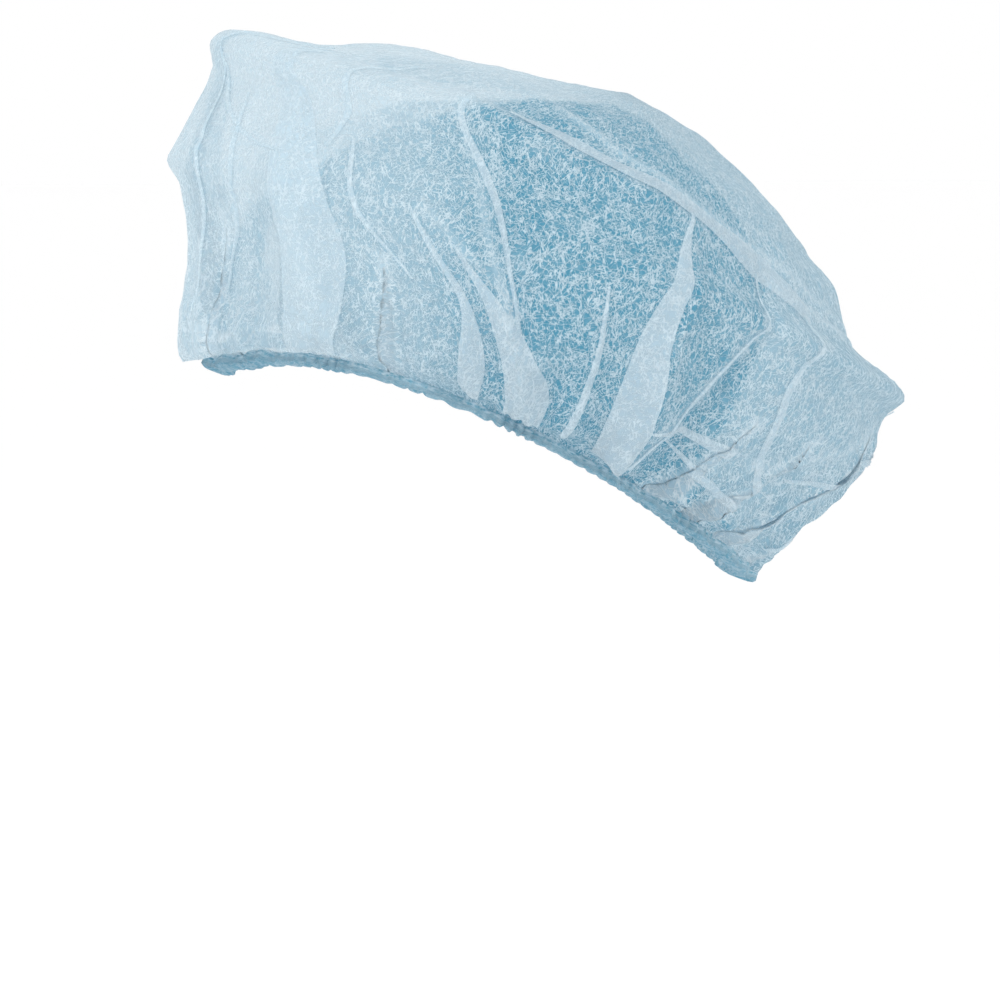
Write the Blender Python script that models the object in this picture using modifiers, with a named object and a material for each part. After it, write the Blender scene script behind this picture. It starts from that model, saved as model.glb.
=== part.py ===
"""A disposable bouffant hairnet, keeping the shape that it has on a head.

Units are metres. +Z is up, the wearer faces -Y and the wearer's left is +X. The origin is the
middle of the head opening. The opening's plane slopes down to the nape by RIM_TILT, and the
pieces are modelled square to that plane, then tilted with it by one empty.

Angles go round the opening in degrees: 0 is the forehead, 90 the wearer's left ear, 180 the
nape and -90 the right ear. Heights are shares of the crown's height above the hem.
"""

import math
from collections import namedtuple

import bpy
import numpy as np
from mathutils import Vector, noise

# Head opening
RIM_LENGTH = 0.202
RIM_WIDTH = 0.156
RIM_TILT = math.radians(22)
RIM_ARCH = 0.0205
RIM_SLANT = 0.0035
ARCH_LEAD = math.radians(16)

# Crown
CROWN_HEIGHT = 0.140
CROWN_FRONT = 0.142
CROWN_BACK = 0.129
CROWN_WIDTH = 0.204
CROWN_CLOTH = 0.0011
BROW_SAG = 0.0080

# Hem and the elastic in it
HEM_CLOTH = 0.0010
ELASTIC_HEIGHT = 0.0024
ELASTIC_THICKNESS = 0.0010
ELASTIC_PLAY = 0.0006
CLEARANCE = 0.0003

# Gathers, folds and crumples of the cloth
GATHER_PITCH = 0.020
GATHER_DEPTH = 0.0032
FOLD_DEPTH = 0.0080
FOLD_WIDTH = 0.0180
CRUMPLE_DEPTH = 0.0022
CRUMPLE_SIZE = 0.030

HEM_HEIGHT = HEM_CLOTH + ELASTIC_PLAY + ELASTIC_HEIGHT + CLEARANCE
HEM_TOP = HEM_HEIGHT / 2
CROWN_BOTTOM = HEM_TOP + CLEARANCE

# How the relief is laid on the cloth, all in shares
COLUMNS_PER_GATHER = 4
GATHER_FADE_HEIGHT = 0.30
GATHER_SWELL = 12
GATHER_DRIFT = 0.9
ARCH_ROUNDING = 0.25
ARCH_FADE = 3
FOLD_SAMPLES = 24
FOLD_SHARPNESS = 1.4
FOLD_TAPER = 0.55
FOLD_START_HEIGHT = 0.06
SAG_HEIGHT = 0.035
BROW_SAG_NARROWNESS = 4

# Each section of the crown is a ring at one height. Its reach to the front, back and side is a
# share of the opening's own reach plus a share of the crown's.
Section = namedtuple("Section", "height rim front back side")
SECTIONS = (
    Section(height=0.000, rim=1.00, front=0.000, back=0.000, side=0.000),
    Section(height=0.030, rim=0.70, front=0.270, back=0.245, side=0.290),
    Section(height=0.060, rim=0.50, front=0.450, back=0.405, side=0.495),
    Section(height=0.120, rim=0.35, front=0.575, back=0.555, side=0.665),
    Section(height=0.200, rim=0.20, front=0.710, back=0.730, side=0.820),
    Section(height=0.300, rim=0.10, front=0.830, back=0.860, side=0.925),
    Section(height=0.355, rim=0.00, front=0.935, back=0.955, side=1.000),
    Section(height=0.410, rim=0.00, front=0.970, back=0.967, side=1.000),
    Section(height=0.500, rim=0.00, front=0.985, back=1.005, side=0.990),
    Section(height=0.565, rim=0.00, front=0.980, back=1.035, side=0.975),
    Section(height=0.605, rim=0.00, front=0.975, back=0.905, side=0.955),
    Section(height=0.670, rim=0.00, front=0.975, back=0.785, side=0.920),
    Section(height=0.735, rim=0.00, front=1.000, back=0.700, side=0.875),
    Section(height=0.772, rim=0.00, front=0.965, back=0.630, side=0.840),
    Section(height=0.815, rim=0.00, front=0.800, back=0.577, side=0.790),
    Section(height=0.860, rim=0.00, front=0.665, back=0.477, side=0.720),
    Section(height=0.900, rim=0.00, front=0.535, back=0.385, side=0.620),
    Section(height=0.935, rim=0.00, front=0.320, back=0.290, side=0.500),
    Section(height=0.965, rim=0.00, front=0.150, back=0.210, side=0.340),
    Section(height=1.000, rim=0.00, front=0.000, back=0.000, side=0.000),
)

# The cloth is pinched to a corner over the forehead and to another behind.
Corner = namedtuple("Corner", "height spread sharpness")
FRONT_CORNER = Corner(height=0.750, spread=0.170, sharpness=0.45)
BACK_CORNER = Corner(height=0.560, spread=0.170, sharpness=0.60)

# Each fold runs over the cloth from its broad end to its narrow end. Depth is a share of
# FOLD_DEPTH, out where positive and in where negative. Width is a share of FOLD_WIDTH.
Fold = namedtuple("Fold", "angle height end_angle end_height depth width")
FOLDS = (
    Fold(angle=-8, height=0.42, end_angle=18, end_height=0.46, depth=0.40, width=0.50),
    Fold(angle=14, height=0.05, end_angle=11, end_height=0.60, depth=0.30, width=0.70),
    Fold(angle=28, height=0.10, end_angle=27, end_height=0.62, depth=-0.50, width=1.00),
    Fold(angle=43, height=0.05, end_angle=31, end_height=0.80, depth=0.75, width=1.20),
    Fold(angle=60, height=0.05, end_angle=52, end_height=0.45, depth=-0.35, width=0.80),
    Fold(angle=74, height=0.05, end_angle=58, end_height=0.50, depth=0.50, width=0.60),
    Fold(angle=85, height=0.05, end_angle=67, end_height=0.48, depth=0.95, width=0.85),
    Fold(angle=78, height=0.25, end_angle=60, end_height=0.82, depth=-0.50, width=0.60),
    Fold(angle=91, height=0.10, end_angle=88, end_height=0.50, depth=0.40, width=0.45),
    Fold(angle=102, height=0.05, end_angle=100, end_height=0.74, depth=1.00, width=0.95),
    Fold(angle=108, height=0.10, end_angle=117, end_height=0.68, depth=-0.55, width=0.60),
    Fold(angle=60, height=0.79, end_angle=120, end_height=0.68, depth=0.50, width=0.60),
    Fold(angle=103, height=0.18, end_angle=126, end_height=0.24, depth=0.30, width=0.40),
    Fold(angle=118, height=0.05, end_angle=140, end_height=0.32, depth=0.60, width=0.60),
    Fold(angle=132, height=0.05, end_angle=162, end_height=0.45, depth=0.70, width=0.65),
    Fold(angle=150, height=0.05, end_angle=176, end_height=0.54, depth=0.60, width=0.60),
    Fold(angle=-10, height=0.05, end_angle=-9, end_height=0.66, depth=-0.35, width=0.80),
    Fold(angle=-30, height=0.05, end_angle=-16, end_height=0.80, depth=0.75, width=1.10),
    Fold(angle=-48, height=0.10, end_angle=-36, end_height=0.60, depth=-0.50, width=0.90),
    Fold(angle=-63, height=0.05, end_angle=-52, end_height=0.70, depth=0.80, width=0.80),
    Fold(angle=-82, height=0.05, end_angle=-70, end_height=0.86, depth=-0.55, width=0.70),
    Fold(angle=-96, height=0.05, end_angle=-92, end_height=0.66, depth=0.90, width=0.90),
    Fold(angle=-110, height=0.05, end_angle=-118, end_height=0.60, depth=0.70, width=0.70),
    Fold(angle=-124, height=0.10, end_angle=-148, end_height=0.58, depth=-0.50, width=0.60),
    Fold(angle=-138, height=0.05, end_angle=-166, end_height=0.46, depth=0.70, width=0.70),
    Fold(angle=-156, height=0.05, end_angle=-176, end_height=0.54, depth=0.60, width=0.60),
    Fold(angle=-62, height=0.80, end_angle=-124, end_height=0.66, depth=0.45, width=0.60),
)

# Colours as linear red, green and blue
CROWN_COLOUR = (0.36, 0.60, 0.71, 1)
HEM_COLOUR = (0.25, 0.52, 0.64, 1)
ELASTIC_COLOUR = (0.62, 0.78, 0.84, 1)
CLOTH_ROUGHNESS = 0.85
ELASTIC_ROUGHNESS = 0.65


def clear_scene():
    for obj in list(bpy.data.objects):
        bpy.data.objects.remove(obj)


def make_material(name, colour, roughness):
    material = bpy.data.materials.new(name)
    material.use_nodes = True
    shader = material.node_tree.nodes["Principled BSDF"]
    shader.inputs["Base Color"].default_value = colour
    shader.inputs["Roughness"].default_value = roughness
    shader.inputs["Metallic"].default_value = 0
    return material


def rim_perimeter():
    """Length round the opening's ellipse, by Ramanujan's first formula."""
    long_half = RIM_LENGTH / 2
    short_half = RIM_WIDTH / 2
    root = math.sqrt((3 * long_half + short_half) * (long_half + 3 * short_half))
    return math.pi * (3 * (long_half + short_half) - root)


GATHERS = round(rim_perimeter() / GATHER_PITCH)
COLUMN_ANGLES = np.linspace(0, 2 * math.pi, GATHERS * COLUMNS_PER_GATHER, endpoint=False)


def smooth_bump(distance, spread):
    """1 at no distance, falling smoothly to 0 at the spread."""
    return np.clip(1 - (distance / spread) ** 2, 0, None) ** 2


def section_share(column, heights):
    """The value of one column of SECTIONS at any height."""
    known_heights = [section.height for section in SECTIONS]
    known_values = [getattr(section, column) for section in SECTIONS]
    return np.interp(heights, known_heights, known_values)


def rim_arch(angles):
    """How far the opening's edge rises over the brow and the ears, more on the right side."""
    leaned = angles + ARCH_LEAD * np.sin(angles)
    rise = np.hypot(np.sin(leaned), ARCH_ROUNDING) - ARCH_ROUNDING
    full_rise = math.hypot(1, ARCH_ROUNDING) - ARCH_ROUNDING
    return RIM_ARCH * rise / full_rise - RIM_SLANT * np.sin(angles)


def gather_wave(angles):
    """The ruffle round the opening, from 0 in its valleys to GATHER_DEPTH on its crests."""
    drift = GATHER_DRIFT * np.sin(2 * angles + 1)
    return GATHER_DEPTH * (1 + np.cos(GATHERS * angles + drift)) / 2


def rim_outward(angles):
    """Unit vectors that point out of the opening's ellipse, in its own plane."""
    across = np.sin(angles) / RIM_WIDTH
    along = -np.cos(angles) / RIM_LENGTH
    length = np.hypot(across, along)
    return np.stack([across / length, along / length, np.zeros_like(angles)], axis=-1)


def rim_loop(offset, height):
    """One loop of points round the opening, moved out from its ellipse and up from its plane."""
    angles = COLUMN_ANGLES
    x = RIM_WIDTH / 2 * np.sin(angles)
    y = -RIM_LENGTH / 2 * np.cos(angles)
    z = height + rim_arch(angles)
    return np.stack([x, y, z], axis=-1) + rim_outward(angles) * np.reshape(offset, (-1, 1))


def crown_surface(angles, heights):
    """Points of the crown before its folds and gathers, for arrays of angles and heights."""
    rim = section_share("rim", heights)
    half_length = rim * RIM_LENGTH / 2
    front = half_length + section_share("front", heights) * CROWN_FRONT
    back = half_length + section_share("back", heights) * CROWN_BACK
    side = rim * RIM_WIDTH / 2 + section_share("side", heights) * CROWN_WIDTH / 2
    ahead = np.cos(angles) > 0
    front_point = smooth_bump(heights - FRONT_CORNER.height, FRONT_CORNER.spread)
    back_point = smooth_bump(heights - BACK_CORNER.height, BACK_CORNER.spread)
    point = np.where(
        ahead, front_point * FRONT_CORNER.sharpness, back_point * BACK_CORNER.sharpness
    )
    x = side * np.sign(np.sin(angles)) * np.abs(np.sin(angles)) ** (1 + point)
    y = -np.where(ahead, front, back) * np.cos(angles)
    z = CROWN_BOTTOM + heights * (CROWN_HEIGHT - CROWN_BOTTOM)
    z = z + rim_arch(angles) * (1 - heights) ** ARCH_FADE
    brow = np.clip(np.cos(angles), 0, None) ** BROW_SAG_NARROWNESS
    z = z - BROW_SAG * brow * smooth_bump(heights - SAG_HEIGHT, SAG_HEIGHT)
    return np.stack([x, y, z], axis=-1)


def surface_normals(points):
    """Outward unit normals of a grid of points that closes on itself round the crown."""
    around = np.roll(points, -1, axis=1) - np.roll(points, 1, axis=1)
    upward = np.gradient(points, axis=0)
    normals = np.cross(around, upward)
    return normals / np.linalg.norm(normals, axis=-1, keepdims=True)


def fold_relief(points, fold):
    """How far one fold lifts each point of the crown."""
    run = np.linspace(0, 1, FOLD_SAMPLES)
    path_angles = np.radians(fold.angle + (fold.end_angle - fold.angle) * run)
    path_heights = fold.height + (fold.end_height - fold.height) * run
    path = crown_surface(path_angles, path_heights)
    widths = fold.width * FOLD_WIDTH * (1 - FOLD_TAPER * run)
    distances = np.linalg.norm(points[..., None, :] - path, axis=-1)
    nearness = np.clip(1 - distances / widths, 0, None) ** FOLD_SHARPNESS
    strength = (nearness * (1 - run**3)).max(axis=-1)
    return fold.depth * FOLD_DEPTH * strength


def crumple_relief(points):
    """Soft uneven dents all over the cloth."""
    flat = [noise.noise(Vector(point / CRUMPLE_SIZE)) for point in points.reshape(-1, 3)]
    return CRUMPLE_DEPTH * np.reshape(flat, points.shape[:-1])


def crown_rings():
    """The crown's outer face, as rings of points from the hem up, all but the topmost point."""
    ring_heights = [section.height for section in SECTIONS[:-1]]
    heights, angles = np.meshgrid(ring_heights, COLUMN_ANGLES, indexing="ij")
    points = crown_surface(angles, heights)
    folds = sum(fold_relief(points, fold) for fold in FOLDS)
    relief = folds + crumple_relief(points)
    started = np.clip(heights / FOLD_START_HEIGHT, 0, 1)
    fading = np.clip(1 - heights / GATHER_FADE_HEIGHT, 0, 1) ** 2
    gathers = gather_wave(angles) * (1 + GATHER_SWELL * heights) * fading
    outward = rim_outward(angles) * (1 - started)[..., None]
    outward = outward + surface_normals(points) * started[..., None]
    outward = outward / np.linalg.norm(outward, axis=-1, keepdims=True)
    return points + outward * (relief * started + gathers)[..., None]


def loft(name, rings, top=None):
    """A mesh object that joins closed rings of points in order, with a top point if given."""
    count = len(rings[0])
    points = [tuple(point) for ring in rings for point in ring]
    faces = []
    for level in range(len(rings) - 1):
        for column in range(count):
            low = level * count + column
            low_next = level * count + (column + 1) % count
            faces.append((low, low_next, low_next + count, low + count))
    if top is not None:
        last = (len(rings) - 1) * count
        for column in range(count):
            faces.append((last + column, last + (column + 1) % count, len(points)))
        points.append(tuple(top))
    mesh = bpy.data.meshes.new(name)
    mesh.from_pydata(points, [], faces)
    mesh.shade_smooth()
    return bpy.data.objects.new(name, mesh)


def thicken(obj, thickness):
    """Gives an open surface its thickness, on the side away from its normals."""
    solidify = obj.modifiers.new("cloth", "SOLIDIFY")
    solidify.thickness = thickness
    solidify.offset = -1
    solidify.use_even_offset = True


def make_crown():
    top = crown_surface(np.array(0.0), np.array(1.0))
    crown = loft("crown", crown_rings(), top)
    thicken(crown, CROWN_CLOTH)
    crown.data.materials.append(make_material("crown_cloth", CROWN_COLOUR, CLOTH_ROUGHNESS))
    return crown


def make_hem():
    """The folded edge: an open channel whose outer and inner walls both ruffle away from it."""
    wave = gather_wave(COLUMN_ANGLES)
    inner_face = -(2 * HEM_CLOTH + 2 * ELASTIC_PLAY + ELASTIC_THICKNESS)
    rings = [
        rim_loop(inner_face - wave, HEM_TOP),
        rim_loop(inner_face - wave, -HEM_HEIGHT / 2),
        rim_loop(wave, -HEM_HEIGHT / 2),
        rim_loop(wave, HEM_TOP),
    ]
    hem = loft("hem", rings)
    thicken(hem, HEM_CLOTH)
    hem.data.materials.append(make_material("hem_cloth", HEM_COLOUR, CLOTH_ROUGHNESS))
    return hem


def make_elastic():
    """The flat band in the channel, clear of its walls and floor."""
    outer_face = np.full(len(COLUMN_ANGLES), -(HEM_CLOTH + ELASTIC_PLAY))
    bottom = -HEM_HEIGHT / 2 + HEM_CLOTH + ELASTIC_PLAY
    rings = [rim_loop(outer_face, bottom), rim_loop(outer_face, bottom + ELASTIC_HEIGHT)]
    elastic = loft("elastic", rings)
    thicken(elastic, ELASTIC_THICKNESS)
    material = make_material("elastic_band", ELASTIC_COLOUR, ELASTIC_ROUGHNESS)
    elastic.data.materials.append(material)
    return elastic


def main():
    clear_scene()
    collection = bpy.data.collections.new("disposable_hairnet")
    bpy.context.scene.collection.children.link(collection)
    opening = bpy.data.objects.new("head_opening", None)
    opening.rotation_euler.x = -RIM_TILT
    collection.objects.link(opening)
    for piece in (make_crown(), make_hem(), make_elastic()):
        piece.parent = opening
        collection.objects.link(piece)


main()
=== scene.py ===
"""The looks of the disposable hairnet: thin light-blue nonwoven cloth, pleated and crumpled
over its full crown, and a ruffled hem with the elastic inside it.

Units are metres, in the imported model's frame. Angles go round the opening: 0 is the front, 90
the left side as worn and 180 the back. Heights are shares of the crown's height.
The sections, gathers and broad folds are those of the solids. Ruffles, pleats, creases and laid
strips are drawn only here, and the opening's slant differs a little.
"""

import math
from collections import namedtuple

import bpy
import numpy as np
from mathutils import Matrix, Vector, noise


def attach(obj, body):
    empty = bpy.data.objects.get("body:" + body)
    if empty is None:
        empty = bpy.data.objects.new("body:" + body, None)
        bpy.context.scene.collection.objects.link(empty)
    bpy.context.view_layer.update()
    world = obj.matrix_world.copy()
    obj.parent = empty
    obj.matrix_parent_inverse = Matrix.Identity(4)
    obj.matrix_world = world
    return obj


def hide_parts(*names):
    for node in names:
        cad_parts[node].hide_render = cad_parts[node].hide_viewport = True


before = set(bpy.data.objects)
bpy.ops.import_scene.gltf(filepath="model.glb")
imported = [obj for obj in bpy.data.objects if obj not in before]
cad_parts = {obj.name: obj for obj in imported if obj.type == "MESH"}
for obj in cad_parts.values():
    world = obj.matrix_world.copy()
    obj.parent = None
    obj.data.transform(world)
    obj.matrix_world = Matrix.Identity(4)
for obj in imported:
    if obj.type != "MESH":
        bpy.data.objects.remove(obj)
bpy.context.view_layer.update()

# Head opening
RIM_LENGTH = 0.202
RIM_WIDTH = 0.156
RIM_TILT = math.radians(22)
RIM_ARCH = 0.0205
RIM_SLANT = 0.0030
SLANT_LEAN = 0.6
ARCH_LEAD = math.radians(16)
ARCH_ROUNDING = 0.25
ARCH_FADE = 3

# Crown
CROWN_HEIGHT = 0.140
CROWN_FRONT = 0.142
CROWN_BACK = 0.129
CROWN_WIDTH = 0.204
BROW_SAG = 0.0080
SAG_HEIGHT = 0.035
BROW_SAG_NARROWNESS = 4
SURFACE_STEP = 1e-4
SHORTEST_NORMAL = 1e-12
PROFILE_SAMPLES = 2000
PROFILE_ANGLES = (0, math.pi / 2, math.pi)

# Hem
HEM_TOP = 0.0021
HEM_BOTTOM = -0.0024
SEAM_LAP = 0.0008
HEM_OUTSIDE = 0.0002
HEM_INSIDE = 0.0042
HEM_COLUMNS = 1500
HEM_POINTS = 14
HEM_ROUNDNESS = 0.5
HEM_GIRTH = 0.018
INNER_GATHER_SHARE = 0.5
INNER_GATHER_LAG = 0.1
INNER_RUFFLE_LAG = 0.03
SCALLOP_SHARE = 0.45
SCALLOP_LAG = 0.011
UPPER_SCALLOP_SHARE = 0.2
PUCKER_DEPTH = 0.00025
PUCKER_TWIST = 3
HEM_EDGE_START = 0.35
HEM_EDGE_SPAN = 0.5

# Elastic, with a rib to every few columns
ELASTIC_INSET = 0.0021
ELASTIC_RISE = 0.0002
ELASTIC_HALF_WIDTH = 0.0005
ELASTIC_HALF_HEIGHT = 0.0012
ELASTIC_COLUMNS = 1400
ELASTIC_POINTS = 10
ELASTIC_GIRTH = 0.007
ELASTIC_RIB = 0.00012
RIB_COLUMNS = 4

# Gathers and ruffles of the edge
GATHERS = 28
GATHER_DEPTH = 0.0032
GATHER_FADE_HEIGHT = 0.30
GATHER_SWELL = 12
GATHER_DRIFT = 0.9
RUFFLES = 112
RUFFLE_DEPTH = 0.0012
RUFFLE_FADE = 0.08
RUFFLE_LEAST = 0.60
RUFFLE_RANGE = 0.40
FINE_RUFFLE_SHARE = 0.35
FINE_RUFFLE_DRIFT = 2.6

# Waves that shift the ruffles along the edge: size, turns round the cap and phase
RUFFLE_DRIFTS = ((5.5, 3, 0.5), (3.6, 8, 0), (2.2, 17, 0))

# Waves that make the ruffles uneven in size: turns round the cap and phase
RUFFLE_SWELLS = ((13, 2), (5, 0))

# Folds and crumples of the crown
FOLD_DEPTH = 0.0080
FOLD_WIDTH = 0.0180
FOLD_SAMPLES = 24
FOLD_SHARPNESS = 1.4
FOLD_TAPER = 0.55
FOLD_START_HEIGHT = 0.06
CRUMPLE_DEPTH = 0.0022
WRINKLE_DEPTH = 0.0014
WRINKLE_MIDDLE = 0.25
FINE_WRINKLE_DEPTH = 0.00035
CREASE_DEPTH = 0.0011
CREASE_WIDTH = 0.0032
PLEAT_OVERLAP = 0.016
PLEAT_LIFT = 0.0012
PLEAT_REACH = 0.70
PLEAT_LEAST_WIDTH = 0.0040
PLEAT_TAPER = 0.85
PLEAT_RISE_START = 0.70
PLEAT_RISE_SPAN = 1.20
PLEAT_EDGE = 0.45
PLEAT_EDGE_SPAN = 0.55
PLEAT_END_STRENGTH = 0.45
RIM_ROOM_HEIGHT = 0.03
RIM_LEAST_LIFT = 0.25
MEAN_RADIUS = 0.098
TEXTURE_START = math.radians(215)

# Lines that the gathers draw in the cloth, straight up from the opening
TENSION_DEPTH = 0.0016
TENSION_HEIGHT = 0.55
TENSION_FADE = 1.5
TENSION_ROUND = 1.1
TENSION_RISE = 0.35
FINE_TENSION_SHARE = 0.5

# Noises over the cloth: the size of their features and their offset in the noise. Sizes are in
# metres, but those of the tension lines are shares of the cap.
Grain = namedtuple("Grain", "size offset")
CRUMPLES = Grain(size=0.030, offset=0.0)
WRINKLES = Grain(size=0.021, offset=7.3)
FINE_WRINKLES = Grain(size=0.006, offset=3.1)
TENSION_LINES = Grain(size=0.11, offset=1.7)
FINE_TENSION_LINES = Grain(size=0.047, offset=5.9)
SHADE_EDGES = Grain(size=0.022, offset=9.1)

# Fineness of the crown's mesh, under 200,000 triangles
CROWN_COLUMNS = 600
CROWN_ROWS = 144

Section = namedtuple("Section", "height rim front back side")
SECTIONS = (
    Section(height=0.000, rim=1.00, front=0.000, back=0.000, side=0.000),
    Section(height=0.030, rim=0.70, front=0.270, back=0.245, side=0.290),
    Section(height=0.060, rim=0.50, front=0.450, back=0.405, side=0.495),
    Section(height=0.120, rim=0.35, front=0.575, back=0.555, side=0.665),
    Section(height=0.200, rim=0.20, front=0.710, back=0.730, side=0.820),
    Section(height=0.300, rim=0.10, front=0.830, back=0.860, side=0.925),
    Section(height=0.355, rim=0.00, front=0.935, back=0.955, side=1.000),
    Section(height=0.410, rim=0.00, front=0.970, back=0.967, side=1.000),
    Section(height=0.500, rim=0.00, front=0.985, back=1.005, side=0.990),
    Section(height=0.565, rim=0.00, front=0.980, back=1.035, side=0.975),
    Section(height=0.605, rim=0.00, front=0.975, back=0.905, side=0.955),
    Section(height=0.670, rim=0.00, front=0.975, back=0.785, side=0.920),
    Section(height=0.735, rim=0.00, front=1.000, back=0.700, side=0.875),
    Section(height=0.772, rim=0.00, front=0.965, back=0.630, side=0.840),
    Section(height=0.815, rim=0.00, front=0.800, back=0.577, side=0.790),
    Section(height=0.860, rim=0.00, front=0.665, back=0.477, side=0.720),
    Section(height=0.900, rim=0.00, front=0.535, back=0.385, side=0.620),
    Section(height=0.935, rim=0.00, front=0.320, back=0.290, side=0.500),
    Section(height=0.965, rim=0.00, front=0.150, back=0.210, side=0.340),
    Section(height=1.000, rim=0.00, front=0.000, back=0.000, side=0.000),
)

Corner = namedtuple("Corner", "height spread sharpness")
FRONT_CORNER = Corner(height=0.750, spread=0.170, sharpness=0.45)
BACK_CORNER = Corner(height=0.560, spread=0.170, sharpness=0.60)

# Broad folds. Depth is a share of FOLD_DEPTH, width of FOLD_WIDTH.
Fold = namedtuple("Fold", "angle height end_angle end_height depth width")
FOLDS = (
    Fold(angle=-8, height=0.42, end_angle=18, end_height=0.46, depth=0.40, width=0.50),
    Fold(angle=14, height=0.05, end_angle=11, end_height=0.60, depth=0.30, width=0.70),
    Fold(angle=28, height=0.10, end_angle=27, end_height=0.62, depth=-0.50, width=1.00),
    Fold(angle=43, height=0.05, end_angle=31, end_height=0.80, depth=0.75, width=1.20),
    Fold(angle=60, height=0.05, end_angle=52, end_height=0.45, depth=-0.35, width=0.80),
    Fold(angle=74, height=0.05, end_angle=58, end_height=0.50, depth=0.50, width=0.60),
    Fold(angle=85, height=0.05, end_angle=67, end_height=0.48, depth=0.95, width=0.85),
    Fold(angle=78, height=0.25, end_angle=60, end_height=0.82, depth=-0.50, width=0.60),
    Fold(angle=91, height=0.10, end_angle=88, end_height=0.50, depth=0.40, width=0.45),
    Fold(angle=102, height=0.05, end_angle=100, end_height=0.74, depth=1.00, width=0.95),
    Fold(angle=108, height=0.10, end_angle=117, end_height=0.68, depth=-0.55, width=0.60),
    Fold(angle=60, height=0.79, end_angle=120, end_height=0.68, depth=0.50, width=0.60),
    Fold(angle=103, height=0.18, end_angle=126, end_height=0.24, depth=0.30, width=0.40),
    Fold(angle=118, height=0.05, end_angle=140, end_height=0.32, depth=0.60, width=0.60),
    Fold(angle=132, height=0.05, end_angle=162, end_height=0.45, depth=0.70, width=0.65),
    Fold(angle=150, height=0.05, end_angle=176, end_height=0.54, depth=0.60, width=0.60),
    Fold(angle=-10, height=0.05, end_angle=-9, end_height=0.66, depth=-0.35, width=0.80),
    Fold(angle=-30, height=0.05, end_angle=-16, end_height=0.80, depth=0.75, width=1.10),
    Fold(angle=-48, height=0.10, end_angle=-36, end_height=0.60, depth=-0.50, width=0.90),
    Fold(angle=-63, height=0.05, end_angle=-52, end_height=0.70, depth=0.80, width=0.80),
    Fold(angle=-82, height=0.05, end_angle=-70, end_height=0.86, depth=-0.55, width=0.70),
    Fold(angle=-96, height=0.05, end_angle=-92, end_height=0.66, depth=0.90, width=0.90),
    Fold(angle=-110, height=0.05, end_angle=-118, end_height=0.60, depth=0.70, width=0.70),
    Fold(angle=-124, height=0.10, end_angle=-148, end_height=0.58, depth=-0.50, width=0.60),
    Fold(angle=-138, height=0.05, end_angle=-166, end_height=0.46, depth=0.70, width=0.70),
    Fold(angle=-156, height=0.05, end_angle=-176, end_height=0.54, depth=0.60, width=0.60),
    Fold(angle=-62, height=0.80, end_angle=-124, end_height=0.66, depth=0.45, width=0.60),
)

# Thin creases. Depth is a share of CREASE_DEPTH, width of CREASE_WIDTH.
CREASES = (
    Fold(angle=82, height=0.10, end_angle=60, end_height=0.82, depth=1.00, width=1.00),
    Fold(angle=104, height=0.08, end_angle=117, end_height=0.68, depth=1.00, width=1.00),
    Fold(angle=40, height=0.52, end_angle=29, end_height=0.80, depth=0.90, width=1.00),
    Fold(angle=29, height=0.80, end_angle=9, end_height=0.74, depth=0.80, width=1.00),
    Fold(angle=20, height=0.30, end_angle=36, end_height=0.62, depth=0.70, width=0.90),
    Fold(angle=36, height=0.34, end_angle=46, end_height=0.66, depth=0.70, width=0.90),
    Fold(angle=60, height=0.50, end_angle=80, end_height=0.30, depth=0.70, width=0.90),
    Fold(angle=68, height=0.86, end_angle=170, end_height=0.58, depth=0.90, width=1.00),
    Fold(angle=120, height=0.66, end_angle=178, end_height=0.55, depth=0.90, width=1.00),
    Fold(angle=126, height=0.20, end_angle=174, end_height=0.52, depth=0.70, width=1.00),
    Fold(angle=140, height=0.10, end_angle=166, end_height=0.34, depth=0.70, width=0.90),
    Fold(angle=-40, height=0.40, end_angle=-24, end_height=0.78, depth=0.90, width=1.00),
    Fold(angle=-80, height=0.10, end_angle=-64, end_height=0.80, depth=0.90, width=1.00),
    Fold(angle=-104, height=0.12, end_angle=-112, end_height=0.70, depth=0.80, width=1.00),
    Fold(angle=-70, height=0.84, end_angle=-165, end_height=0.60, depth=0.80, width=1.00),
    Fold(angle=-150, height=0.20, end_angle=-176, end_height=0.52, depth=0.70, width=1.00),
)

# Pleats folded flat over themselves, broad at the hem and running out above. Overlap is a
# share of PLEAT_OVERLAP, and side is the way in which the upper layer faces.
Pleat = namedtuple("Pleat", "angle end_angle end_height overlap side")
PLEATS = (
    Pleat(angle=16, end_angle=20, end_height=0.34, overlap=0.30, side=1),
    Pleat(angle=58, end_angle=54, end_height=0.36, overlap=0.35, side=1),
    Pleat(angle=114, end_angle=122, end_height=0.34, overlap=0.45, side=1),
    Pleat(angle=125, end_angle=138, end_height=0.36, overlap=0.50, side=-1),
    Pleat(angle=138, end_angle=160, end_height=0.46, overlap=0.55, side=1),
    Pleat(angle=154, end_angle=174, end_height=0.52, overlap=0.55, side=-1),
    Pleat(angle=169, end_angle=178, end_height=0.52, overlap=0.45, side=1),
    Pleat(angle=-14, end_angle=-14, end_height=0.50, overlap=0.45, side=1),
    Pleat(angle=-33, end_angle=-22, end_height=0.72, overlap=0.80, side=-1),
    Pleat(angle=-52, end_angle=-46, end_height=0.44, overlap=0.40, side=1),
    Pleat(angle=-68, end_angle=-56, end_height=0.64, overlap=0.85, side=1),
    Pleat(angle=-86, end_angle=-80, end_height=0.40, overlap=0.45, side=-1),
    Pleat(angle=-100, end_angle=-94, end_height=0.72, overlap=0.95, side=-1),
    Pleat(angle=-116, end_angle=-124, end_height=0.50, overlap=0.70, side=1),
    Pleat(angle=-132, end_angle=-150, end_height=0.42, overlap=0.50, side=-1),
    Pleat(angle=-146, end_angle=-166, end_height=0.50, overlap=0.55, side=1),
    Pleat(angle=-163, end_angle=-176, end_height=0.52, overlap=0.50, side=-1),
)

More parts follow.
